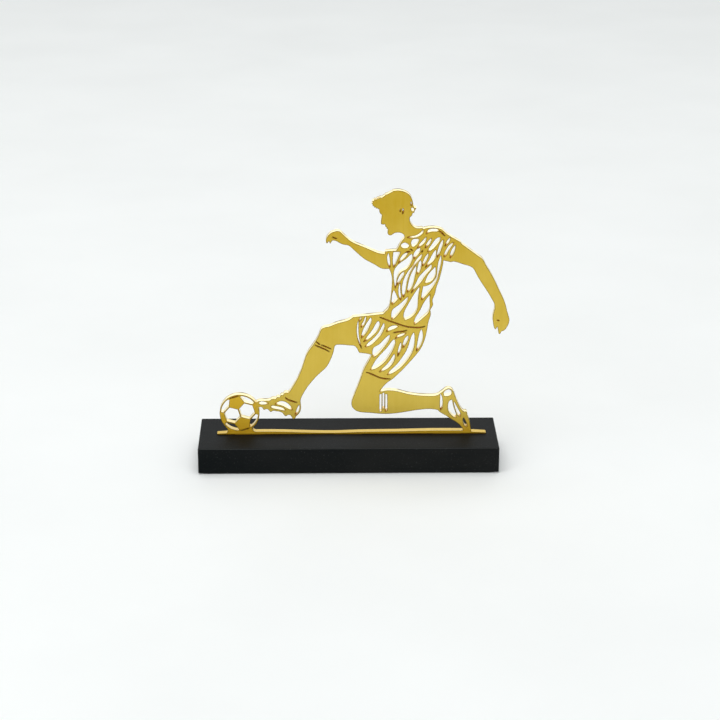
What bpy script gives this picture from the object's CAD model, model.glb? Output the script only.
import math

import bmesh
import bpy
from mathutils import Matrix, Vector, noise


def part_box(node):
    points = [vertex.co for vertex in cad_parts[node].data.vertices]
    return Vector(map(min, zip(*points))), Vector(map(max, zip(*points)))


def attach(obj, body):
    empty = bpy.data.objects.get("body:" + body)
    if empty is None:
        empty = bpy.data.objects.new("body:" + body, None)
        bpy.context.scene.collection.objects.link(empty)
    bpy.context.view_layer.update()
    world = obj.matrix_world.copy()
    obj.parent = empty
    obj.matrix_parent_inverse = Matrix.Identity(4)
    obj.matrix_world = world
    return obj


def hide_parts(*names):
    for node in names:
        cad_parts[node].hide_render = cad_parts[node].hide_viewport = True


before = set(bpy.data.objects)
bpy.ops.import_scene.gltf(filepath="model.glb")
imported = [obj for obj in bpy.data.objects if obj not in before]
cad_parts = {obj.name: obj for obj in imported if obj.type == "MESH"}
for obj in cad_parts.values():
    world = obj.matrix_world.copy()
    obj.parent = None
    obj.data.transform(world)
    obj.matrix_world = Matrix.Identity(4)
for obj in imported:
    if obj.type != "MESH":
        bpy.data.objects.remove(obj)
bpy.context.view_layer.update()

# A gold cut-out footballer standing on a black painted block. Metres; Z is up, the viewer is at -Y.

scene = bpy.context.scene
scene.view_settings.view_transform = "Standard"


# ---------------------------------------------------------------- camera

CAMERA_PLACE = Vector((-0.0203, -1.4327, 0.5988))
CAMERA_YAW = math.radians(1.1395)
CAMERA_PITCH = math.radians(20.1175)
CAMERA_ROLL = math.radians(0.171)
CAMERA_LENS = 109.12
CAMERA_SENSOR = 36


def make_camera():
    """A long-lens camera a little above the trophy, looking down at it."""
    forward = Vector((math.sin(CAMERA_YAW) * math.cos(CAMERA_PITCH),
                      math.cos(CAMERA_YAW) * math.cos(CAMERA_PITCH),
                      -math.sin(CAMERA_PITCH)))
    right = Vector((math.cos(CAMERA_YAW), -math.sin(CAMERA_YAW), 0))
    up = right.cross(forward)
    rolled_right = math.cos(CAMERA_ROLL) * right + math.sin(CAMERA_ROLL) * up
    rolled_up = math.cos(CAMERA_ROLL) * up - math.sin(CAMERA_ROLL) * right
    turn = Matrix((rolled_right, rolled_up, -forward)).transposed()
    data = bpy.data.cameras.new("camera")
    data.sensor_width = CAMERA_SENSOR
    data.lens = CAMERA_LENS
    camera = bpy.data.objects.new("camera", data)
    camera.matrix_world = Matrix.Translation(CAMERA_PLACE) @ turn.to_4x4()
    scene.collection.objects.link(camera)
    scene.camera = camera


# ---------------------------------------------------------------- material helpers

# A Mix node's sockets go by number, because their names repeat.
MIX_FACTOR = 0
MIX_VALUES = (2, 3)
MIX_VALUE_RESULT = 0
MIX_COLOURS = (6, 7)
MIX_COLOUR_RESULT = 2

# Nearly all of a noise texture's values lie in this range.
NOISE_RANGE = (0.3, 0.7)

RAY_SAMPLES = 6


def feed(node, inputs):
    """Sets a node's inputs, each to a plain value or from another node's output."""
    for key, value in inputs.items():
        socket = node.inputs[key]
        if isinstance(value, bpy.types.NodeSocket):
            node.id_data.links.new(value, socket)
        else:
            socket.default_value = value


def node_adder(tree):
    """A helper that adds nodes to a tree."""
    def add(kind, inputs=None, **settings):
        node = tree.nodes.new(kind)
        for key, value in settings.items():
            setattr(node, key, value)
        feed(node, inputs or {})
        return node

    return add


def new_material(name):
    """A node material with its shader, and a helper that adds nodes."""
    material = bpy.data.materials.new(name)
    material.use_nodes = True
    tree = material.node_tree
    return material, tree.nodes["Principled BSDF"], node_adder(tree)


def texture(add, kind):
    """A noise texture. Its kind is its cells to a metre along X, Y and Z, detail and roughness."""
    cells, detail, roughness = kind
    place = add("ShaderNodeTexCoord").outputs["Object"]
    vector = add("ShaderNodeMapping", {"Vector": place, "Scale": cells}).outputs[0]
    return add("ShaderNodeTexNoise", {"Vector": vector, "Scale": 1.0, "Detail": detail,
                                      "Roughness": roughness}).outputs["Fac"]


def spread(add, value, low, high, from_low=NOISE_RANGE[0], from_high=NOISE_RANGE[1]):
    """A value stretched to run from low to high, and held there outside its own range."""
    return add("ShaderNodeMapRange", {"Value": value, "From Min": from_low, "From Max": from_high,
                                      "To Min": low, "To Max": high}).outputs[0]


def mixed(add, factor, first, second):
    """A blend of two colours, each a plain colour or another node's output."""
    node = add("ShaderNodeMix", {MIX_FACTOR: factor}, data_type="RGBA")
    for index, value in zip(MIX_COLOURS, (first, second)):
        feed(node, {index: value + (1.0,) if isinstance(value, tuple) else value})
    return node.outputs[MIX_COLOUR_RESULT]


def mixed_value(add, factor, first, second):
    """A blend of two values."""
    inputs = {MIX_FACTOR: factor, MIX_VALUES[0]: first, MIX_VALUES[1]: second}
    return add("ShaderNodeMix", inputs, data_type="FLOAT").outputs[MIX_VALUE_RESULT]


def multiply(add, first, second):
    return add("ShaderNodeMath", {0: first, 1: second}, operation="MULTIPLY").outputs[0]


def plus(add, first, second):
    return add("ShaderNodeMath", {0: first, 1: second}, operation="ADD").outputs[0]


def larger(add, first, second):
    return add("ShaderNodeMath", {0: first, 1: second}, operation="MAXIMUM").outputs[0]


def weighted(add, shares, first, second):
    """Two values, each times its share, added up."""
    return plus(add, multiply(add, first, shares[0]), multiply(add, second, shares[1]))


def parts_of(add, vector):
    """A vector's X, Y and Z."""
    return add("ShaderNodeSeparateXYZ", {0: vector}).outputs


def rounded_normal(add, radius):
    """The surface's normal, with every edge rounded to this radius."""
    return add("ShaderNodeBevel", {"Radius": radius}, samples=RAY_SAMPLES).outputs[0]


def openness(add, reach):
    """How free the space in front of the surface is within this reach, from 0 to 1."""
    return add("ShaderNodeAmbientOcclusion", {"Distance": reach}, samples=RAY_SAMPLES,
               only_local=True).outputs["AO"]


def bump(add, height, strength, depth, normal=None):
    """The normal of a surface roughened by a height; depth is in metres."""
    node = add("ShaderNodeBump", {"Height": height, "Strength": strength, "Distance": depth})
    if normal is not None:
        feed(node, {"Normal": normal})
    return node.outputs["Normal"]


# ---------------------------------------------------------------- gold

FACE_GOLD_DEEP = (0.560, 0.370, 0.025)
FACE_GOLD_PALE = (0.770, 0.592, 0.118)
FOOT_GOLD = (1.000, 0.600, 0.034)
BALL_GOLD = (0.690, 0.425, 0.022)
WALL_GOLD_DEEP = (0.90, 0.77, 0.42)
WALL_GOLD_PALE = (0.98, 0.92, 0.66)
FOOT_WALL = (0.50, 0.34, 0.048)
INNER_WALL = (0.99, 0.95, 0.80)
GAP_GOLD = (0.76, 0.50, 0.10)
SLOT_BROWN = (0.80, 0.40, 0.022)
EXIT_BAND = (0.190, 0.130, 0.055)
EDGE_OLIVE = (0.125, 0.072, 0.005)
SOILED_TINT = (0.60, 0.34, 0.04)
CLEAN_TINT = (1.0, 0.94, 0.78)
CONTACT_BROWN = (0.10, 0.040, 0.003)

# Noise textures: cells to a metre along X, Y and Z, detail and roughness.
FINE_BRUSHING = ((2600, 300, 45), 2.0, 0.6)
BROAD_BRUSHING = ((420, 60, 10), 3.0, 0.55)
GOLD_CLOUDS = ((60, 60, 40), 4.0, 0.6)
CUTTING_LINES = ((1900, 60, 1900), 2.0, 0.6)
SCORCH_PATCHES = ((110, 110, 110), 1.0, 0.5)

# Lengths and places in metres: X across, Y towards the back, Z up.
EDGE_BREAK = 0.00025
EDGE_LINE = 0.0009
SLOT_REACH = 0.0014
OPEN_REACH = 0.009
BLOCK_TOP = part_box("base_block")[1][2]
PLATE_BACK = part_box("figure_plate")[1][1]
NEAR_BLOCK = (BLOCK_TOP, BLOCK_TOP + 0.015)
BLOCK_CONTACT = (BLOCK_TOP + 0.0003, BLOCK_TOP + 0.0011)
SCORCH_DEPTH = (PLATE_BACK - 0.0013, PLATE_BACK - 0.0005)
SCORCH_RAGGEDNESS = 0.0009
BALL_RIGHT = (-0.066, -0.060)
BALL_TOP = (0.046, 0.056)
PALER_ACROSS = (-0.06, 0.09)
PALER_DOWN = (0.05, 0.19)
GOLD_BUMP_DEPTH = 0.00006

# How far a surface turns to the front or back, and how far an edge turns its normal.
WALL_FACING = (0.25, 0.75)
FACE_FACING = (0.60, 0.95)
EDGE_TURN = (0.95, 0.999)

# How open the space is, from shut at 0.
INNER_AIR = (0.30, 0.55)
GAP_AIR = (0.50, 0.80)
SLOT_AIR = (0.25, 0.52)
SCORCHED_AIR = (0.55, 0.9)

# The shares of two values that are added up.
FINE_AND_BROAD = (0.45, 0.55)
STREAK_AND_CLOUD = (0.5, 0.5)
ACROSS_AND_DOWN = (0.15, 0.70)
GRAIN_AND_PALING = (0.6, 0.4)
STREAK_AND_CUT = (0.5, 1.0)

TINT_RANGE = (0.25, 0.75)
SCORCH_PATCH_RANGE = (0.38, 0.60)
SCORCH_FREE_BLOCK = (0, 0.5)
BALL_SHARE = 0.75
CONTACT_SHARE = 0.8
GAP_SHARE = 0.8
FILM_SHARE = 0.30
CLEAN_METAL = 1.0
DULLED_METAL = 0.30
FACE_ROUGHNESS = (0.46, 0.56)
WALL_ROUGHNESS = (0.34, 0.48)
GOLD_BUMP = 0.25


def gold_face_colour(add, place, streak, near_block, on_edge):
    """Upright brush lines and clouds, paler to the right and lower down, with a redder gold on
    the ball and by the block, a dull line along the edges and brown where the block is met."""
    grain = weighted(add, STREAK_AND_CLOUD, streak, texture(add, GOLD_CLOUDS))
    sideways = spread(add, place["X"], 0, 1, *PALER_ACROSS)
    downward = spread(add, place["Z"], 1, 0, *PALER_DOWN)
    paling = weighted(add, ACROSS_AND_DOWN, sideways, downward)
    tint = weighted(add, GRAIN_AND_PALING, grain, paling)
    colour = mixed(add, spread(add, tint, 0, 1, *TINT_RANGE), FACE_GOLD_DEEP, FACE_GOLD_PALE)
    on_ball = multiply(add, spread(add, place["X"], BALL_SHARE, 0, *BALL_RIGHT),
                       spread(add, place["Z"], 1, 0, *BALL_TOP))
    colour = mixed(add, on_ball, colour, BALL_GOLD)
    colour = mixed(add, near_block, colour, FOOT_GOLD)
    colour = mixed(add, on_edge, colour, EDGE_OLIVE)
    contact = spread(add, place["Z"], CONTACT_SHARE, 0, *BLOCK_CONTACT)
    return mixed(add, contact, colour, CONTACT_BROWN)


def gold_wall_colour(add, place, striae, near_block, on_wall):
    """Pale gold with cutting lines, paler inside the openings, a deeper gold in their tips and
    by the block, brown inside the slots, and scorched in patches where the cut leaves the plate.
    It also gives how far a point is in a slot and in the scorched band."""
    slot_air = openness(add, SLOT_REACH)
    open_air = openness(add, OPEN_REACH)
    colour = mixed(add, spread(add, striae, 0, 1), WALL_GOLD_DEEP, WALL_GOLD_PALE)
    colour = mixed(add, spread(add, open_air, 1, 0, *INNER_AIR), colour, INNER_WALL)
    colour = mixed(add, spread(add, slot_air, GAP_SHARE, 0, *GAP_AIR), colour, GAP_GOLD)
    colour = mixed(add, near_block, colour, FOOT_WALL)
    in_slot = multiply(add, spread(add, slot_air, 1, 0, *SLOT_AIR), on_wall)
    colour = mixed(add, in_slot, colour, SLOT_BROWN)
    depth = plus(add, place["Y"], multiply(add, striae, SCORCH_RAGGEDNESS))
    patches = spread(add, texture(add, SCORCH_PATCHES), 0, 1, *SCORCH_PATCH_RANGE)
    patches = multiply(add, patches, spread(add, open_air, 0, 1, *SCORCHED_AIR))
    patches = multiply(add, patches, spread(add, near_block, 1, 0, *SCORCH_FREE_BLOCK))
    scorched = multiply(add, spread(add, depth, 0, 1, *SCORCH_DEPTH), patches)
    scorched = multiply(add, scorched, on_wall)
    return mixed(add, scorched, colour, EXIT_BAND), in_slot, scorched


def gold_material():
    """Satin gold: brushed faces, paler cut walls, and a dull line along the faces' edges."""
    material, shader, add = new_material("satin_gold")
    true_normal = add("ShaderNodeNewGeometry").outputs["True Normal"]
    place = parts_of(add, add("ShaderNodeTexCoord").outputs["Object"])
    normal_y = parts_of(add, true_normal)["Y"]
    facing = add("ShaderNodeMath", {0: normal_y}, operation="ABSOLUTE").outputs[0]
    on_wall = spread(add, facing, 1, 0, *WALL_FACING)
    on_face = spread(add, facing, 0, 1, *FACE_FACING)
    turned = add("ShaderNodeVectorMath", {0: rounded_normal(add, EDGE_LINE), 1: true_normal},
                 operation="DOT_PRODUCT").outputs["Value"]
    on_edge = multiply(add, spread(add, turned, 1, 0, *EDGE_TURN), on_face)
    near_block = spread(add, place["Z"], 1, 0, *NEAR_BLOCK)

    streak = weighted(add, FINE_AND_BROAD, texture(add, FINE_BRUSHING), texture(add, BROAD_BRUSHING))
    striae = texture(add, CUTTING_LINES)
    face_colour = gold_face_colour(add, place, streak, near_block, on_edge)
    wall_colour, in_slot, scorched = gold_wall_colour(add, place, striae, near_block, on_wall)
    filmed = multiply(add, multiply(add, near_block, on_face), FILM_SHARE)
    dulled = larger(add, scorched, filmed)
    soiled = larger(add, on_edge, in_slot)
    height = weighted(add, STREAK_AND_CUT, multiply(add, streak, on_face),
                      multiply(add, striae, on_wall))
    feed(shader, {
        "Base Color": mixed(add, on_wall, face_colour, wall_colour),
        "Roughness": mixed_value(add, on_wall, spread(add, streak, *FACE_ROUGHNESS),
                                 spread(add, striae, *WALL_ROUGHNESS)),
        "Metallic": spread(add, dulled, CLEAN_METAL, DULLED_METAL, 0, 1),
        "Specular IOR Level": 0.0,
        "Specular Tint": mixed(add, soiled, CLEAN_TINT, SOILED_TINT),
        "Normal": bump(add, height, GOLD_BUMP, GOLD_BUMP_DEPTH, rounded_normal(add, EDGE_BREAK)),
    })
    return material


# ---------------------------------------------------------------- other materials

PAINT_DEEP = (0.0038, 0.0054, 0.0060)
PAINT_GREY = (0.0108, 0.0116, 0.0114)
PAINT_WORN = (0.052, 0.054, 0.053)
DUST_SPECKS = ((900, 900, 900), 2.0, 0.7)
PAINT_CLOUDS = ((13, 24, 30), 4.0, 0.55)
ORANGE_PEEL = ((1500, 1500, 1500), 3.0, 0.6)
SPECK_RANGE = (0.62, 0.70)
EDGE_FACING = (0.80, 0.97)
SPECK_AND_EDGE = (0.5, 0.6)
PAINT_ROUGHNESS = (0.52, 0.62)
PAINT_SHINE = 0.04
PEEL_BUMP = 0.35
PEEL_DEPTH = 0.00004


def paint_material():
    """Black satin paint on fibreboard: a faint orange peel, dust specks and worn edges."""
    material, shader, add = new_material("black_paint")
    speck = spread(add, texture(add, DUST_SPECKS), 0, 1, *SPECK_RANGE)
    cloudy = texture(add, PAINT_CLOUDS)
    normal = add("ShaderNodeNewGeometry").outputs["Normal"]
    square_on = parts_of(add, add("ShaderNodeVectorMath", {0: normal}, operation="ABSOLUTE").outputs[0])
    most = larger(add, larger(add, square_on["X"], square_on["Y"]), square_on["Z"])
    on_edge = spread(add, most, 1, 0, *EDGE_FACING)
    plain = mixed(add, spread(add, cloudy, 0, 1), PAINT_DEEP, PAINT_GREY)
    wear = weighted(add, SPECK_AND_EDGE, speck, on_edge)
    feed(shader, {
        "Base Color": mixed(add, wear, plain, PAINT_WORN),
        "Roughness": spread(add, cloudy, *PAINT_ROUGHNESS),
        "Specular IOR Level": PAINT_SHINE,
        "Normal": bump(add, texture(add, ORANGE_PEEL), PEEL_BUMP, PEEL_DEPTH),
    })
    return material


FELT_DEEP = (0.008, 0.008, 0.009)
FELT_GREY = (0.030, 0.030, 0.032)
LONG_FIBRES = ((900, 2600, 1500), 4.0, 0.7)
CROSS_FIBRES = ((2800, 1000, 1500), 4.0, 0.7)
FELT_PATCHES = ((60, 60, 60), 3.0, 0.5)
LONG_AND_CROSS = (0.5, 0.5)
FIBRES_AND_PATCHES = (0.75, 0.25)
FELT_RANGE = (0.35, 0.65)
FELT_ROUGHNESS = (0.85, 0.98)
FELT_SHEEN = 0.25
FELT_SHEEN_ROUGHNESS = 0.5
FELT_SHINE = 0.15
FIBRE_BUMP = 0.9
FIBRE_DEPTH = 0.00025


def felt_material():
    """Short black felt: matted fibres lying two ways, with a soft sheen."""
    material, shader, add = new_material("black_felt")
    matted = weighted(add, LONG_AND_CROSS, texture(add, LONG_FIBRES), texture(add, CROSS_FIBRES))
    tone = weighted(add, FIBRES_AND_PATCHES, matted, texture(add, FELT_PATCHES))
    feed(shader, {
        "Base Color": mixed(add, spread(add, tone, 0, 1, *FELT_RANGE), FELT_DEEP, FELT_GREY),
        "Roughness": spread(add, matted, *FELT_ROUGHNESS),
        "Sheen Weight": FELT_SHEEN,
        "Sheen Roughness": FELT_SHEEN_ROUGHNESS,
        "Specular IOR Level": FELT_SHINE,
        "Normal": bump(add, matted, FIBRE_BUMP, FIBRE_DEPTH),
    })
    return material


SCREW_ZINC = (0.60, 0.60, 0.62)
SCREW_MARKS = ((500, 500, 4500), 3.0, 0.6)
WASHER_ZINC = (0.64, 0.64, 0.65)
WASHER_MARKS = ((3500, 900, 900), 3.0, 0.6)
ZINC_STAINS = ((700, 700, 700), 3.0, 0.5)
STAINED_SHARE = 0.82
ZINC_ROUGHNESS = (0.26, 0.42)
MARKS_BUMP = 0.3
MARKS_DEPTH = 0.00003


def steel_material(name, tint, marks_kind):
    """Zinc-plated steel with fine turning marks."""
    material, shader, add = new_material(name)
    marks = texture(add, marks_kind)
    stained = tuple(STAINED_SHARE * value for value in tint)
    feed(shader, {
        "Base Color": mixed(add, spread(add, texture(add, ZINC_STAINS), 0, 1), stained, tint),
        "Metallic": 1.0,
        "Roughness": spread(add, marks, *ZINC_ROUGHNESS),
        "Normal": bump(add, marks, MARKS_BUMP, MARKS_DEPTH),
    })
    return material


PAPER_DEEP = (0.905, 0.925, 0.918)
PAPER_PALE = (0.935, 0.955, 0.948)
PAPER_GRAIN = ((6, 6, 6), 4.0, 0.5)
PAPER_ROUGHNESS = 0.9
PAPER_SHINE = 0.1


def paper_material():
    """The pale studio floor, with a hardly visible grain."""
    material, shader, add = new_material("studio_paper")
    grain = spread(add, texture(add, PAPER_GRAIN), 0, 1)
    feed(shader, {
        "Base Color": mixed(add, grain, PAPER_DEEP, PAPER_PALE),
        "Roughness": PAPER_ROUGHNESS,
        "Specular IOR Level": PAPER_SHINE,
    })
    return material


def dress(node, material):
    """Puts a material on a CAD node's own slots."""
    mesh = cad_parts[node].data
    if not mesh.materials:
        mesh.materials.append(material)
    for index in range(len(mesh.materials)):
        mesh.materials[index] = material


# ---------------------------------------------------------------- felt sheet

FELT_CORNER = 0.004
FELT_STEP = 0.0026
# Heights up the sheet's edge, as shares of its thickness, and how far each is drawn in.
FELT_LEVELS = (0.0, 0.35, 0.75, 1.0)
FELT_DRAWN_IN = (0.00022, 0.0, 0.0, 0.00012)
# Every level is drawn in by this much more, give or take a ripple.
FELT_INSET = 0.00011
FELT_RIPPLE = 0.00010
RIPPLE_CELLS = 900
RIPPLE_CHANGE = 3
# The underside's hollows, in metres, and their noise cells to a metre and layer.
UNDERSIDE_HOLLOW = 0.00008
UNDERSIDE_CELLS = 260
UNDERSIDE_LAYER = 4.0


def in_rounded_outline(x, y, width, depth):
    """The point, moved into the sheet's outline where that has a rounded corner."""
    over_x = abs(x) - (width / 2 - FELT_CORNER)
    over_y = abs(y) - (depth / 2 - FELT_CORNER)
    if over_x <= 0 or over_y <= 0:
        return x, y
    shrink = max(over_x, over_y) / math.hypot(over_x, over_y)
    return (math.copysign(width / 2 - FELT_CORNER + over_x * shrink, x),
            math.copysign(depth / 2 - FELT_CORNER + over_y * shrink, y))


def place_on_rim(i, j, count_x, count_y):
    """Which point of a ring round the sheet the grid point i, j is."""
    if j == 0:
        return i
    if i == count_x:
        return count_x + j
    if j == count_y:
        return 2 * count_x + count_y - i
    return 2 * count_x + 2 * count_y - j


def felt_rings(build, width, depth, thick, bottom, count_x, count_y):
    """The sheet's edge: a ring of points at each level, with a slight ripple."""
    path = ([(i / count_x, 0) for i in range(count_x)]
            + [(1, j / count_y) for j in range(count_y)]
            + [(1 - i / count_x, 1) for i in range(count_x)]
            + [(0, 1 - j / count_y) for j in range(count_y)])
    rings = []
    for level, drawn_in in zip(FELT_LEVELS, FELT_DRAWN_IN):
        ring = []
        for along, across in path:
            x, y = in_rounded_outline((along - 0.5) * width, (across - 0.5) * depth, width, depth)
            wave = noise.noise(Vector((x * RIPPLE_CELLS, y * RIPPLE_CELLS, level * RIPPLE_CHANGE)))
            inset = drawn_in + FELT_INSET + FELT_RIPPLE * wave
            shrink = 1 - inset / math.hypot(x, y)
            ring.append(build.verts.new((x * shrink, y * shrink, bottom + thick * level)))
        rings.append(ring)
    return rings


def felt_side(build, ring, width, depth, count_x, count_y, underneath):
    """The sheet's upper side, which is flat, or its underside, which is matted."""
    grid = {}
    for i in range(count_x + 1):
        for j in range(count_y + 1):
            if i in (0, count_x) or j in (0, count_y):
                grid[i, j] = ring[place_on_rim(i, j, count_x, count_y)]
                continue
            x = (i / count_x - 0.5) * width
            y = (j / count_y - 0.5) * depth
            z = ring[0].co.z
            if underneath:
                wave = noise.noise(Vector((x * UNDERSIDE_CELLS, y * UNDERSIDE_CELLS, UNDERSIDE_LAYER)))
                z += UNDERSIDE_HOLLOW * (1 + wave)
            grid[i, j] = build.verts.new((x, y, z))
    for i in range(count_x):
        for j in range(count_y):
            quad = [grid[i, j], grid[i + 1, j], grid[i + 1, j + 1], grid[i, j + 1]]
            build.faces.new(quad[::-1] if underneath else quad)


def make_felt(material):
    """A die-cut felt sheet in the CAD sheet's place: rounded corners and edge, and a matted
    surface underneath."""
    low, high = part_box("felt_pad")
    width = high[0] - low[0]
    depth = high[1] - low[1]
    thick = high[2] - low[2]
    count_x = round(width / FELT_STEP)
    count_y = round(depth / FELT_STEP)
    mesh = bpy.data.meshes.new("felt_sheet")
    build = bmesh.new()
    rings = felt_rings(build, width, depth, thick, low[2], count_x, count_y)
    total = len(rings[0])
    for lower, upper in zip(rings, rings[1:]):
        for k in range(total):
            build.faces.new((lower[k], lower[(k + 1) % total], upper[(k + 1) % total], upper[k]))
    felt_side(build, rings[0], width, depth, count_x, count_y, underneath=True)
    felt_side(build, rings[-1], width, depth, count_x, count_y, underneath=False)
    bmesh.ops.recalc_face_normals(build, faces=build.faces)
    build.to_mesh(mesh)
    build.free()
    mesh.polygons.foreach_set("use_smooth", [True] * len(mesh.polygons))
    mesh.materials.append(material)
    felt = bpy.data.objects.new("felt_sheet", mesh)
    scene.collection.objects.link(felt)
    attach(felt, "root")
    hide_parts("felt_pad")


# ---------------------------------------------------------------- studio

FLOOR_RADIUS = 3.2
FLOOR_SIDES = 96


def make_floor(material):
    """A wide pale floor that the trophy stands on."""
    mesh = bpy.data.meshes.new("studio_floor")
    build = bmesh.new()
    turns = [math.tau * k / FLOOR_SIDES for k in range(FLOOR_SIDES)]
    build.faces.new([build.verts.new((FLOOR_RADIUS * math.cos(turn), FLOOR_RADIUS * math.sin(turn), 0.0))
                     for turn in turns])
    build.to_mesh(mesh)
    build.free()
    mesh.materials.append(material)
    floor = bpy.data.objects.new("studio_floor", mesh)
    scene.collection.objects.link(floor)


# How bright the air is, by direction, and how far up, back or forward each change runs.
AIR_COLOUR = (0.985, 0.997, 1.0, 1)
AIR_HORIZON = 0.92
AIR_ROUND = 0.30
AIR_BEHIND = 1.8
AIR_IN_FRONT = 1.1
HORIZON_RISE = (-0.12, 0.12)
BEHIND_RANGE = (0.66, 0.88)
IN_FRONT_RANGE = (-0.75, -0.15)


def make_air():
    """The room's own light. Below the horizon it is as bright as the floor. Above it, it is
    brighter behind the trophy and in front, and dim between them, where the softbox hangs."""
    world = bpy.data.worlds.new("studio_air")
    scene.world = world
    world.use_nodes = True
    background = world.node_tree.nodes["Background"]
    add = node_adder(world.node_tree)
    direction = parts_of(add, add("ShaderNodeTexCoord").outputs["Generated"])
    rise = spread(add, direction["Z"], 0, 1, *HORIZON_RISE)
    backward = spread(add, direction["Y"], 0, 1, *BEHIND_RANGE)
    forward = spread(add, direction["Y"], 1, 0, *IN_FRONT_RANGE)
    near = mixed_value(add, forward, AIR_ROUND, AIR_IN_FRONT)
    high = mixed_value(add, backward, near, AIR_BEHIND)
    feed(background, {"Color": AIR_COLOUR, "Strength": mixed_value(add, rise, AIR_HORIZON, high)})


# Each softbox: its place, what it points at, its width and height in metres, and its watts.
SOFTBOXES = {
    "overhead_softbox": ((-0.2, 0.05, 3.0), (-0.1, 0.05, 0), (2.8, 2.8), 43.0),
    "front_softbox": ((0.2, -2.0, 2.0), (0, 0, 0), (1.8, 1.2), 4.0),
    "left_softbox": ((-1.4, -0.9, 1.3), (0, 0, 0.08), (1.2, 1.2), 4.0),
}


def make_lights():
    for name, (place, target, size, power) in SOFTBOXES.items():
        data = bpy.data.lights.new(name, "AREA")
        data.shape = "RECTANGLE"
        data.size, data.size_y = size
        data.energy = power
        light = bpy.data.objects.new(name, data)
        light.location = place
        aim = Vector(target) - Vector(place)
        light.rotation_euler = aim.to_track_quat("-Z", "Y").to_euler()
        scene.collection.objects.link(light)


# ---------------------------------------------------------------- put together

make_camera()
gold = gold_material()
paint = paint_material()
felt_cloth = felt_material()
screw_steel = steel_material("zinc_screw", SCREW_ZINC, SCREW_MARKS)
washer_steel = steel_material("zinc_washer", WASHER_ZINC, WASHER_MARKS)

dress("figure_plate", gold)
dress("base_block", paint)
dress("felt_pad", felt_cloth)
for station in ("left", "centre", "right"):
    dress(f"fixing_screw_{station}", screw_steel)
    dress(f"washer_{station}", washer_steel)
make_felt(felt_cloth)
make_floor(paper_material())
make_air()
make_lights()
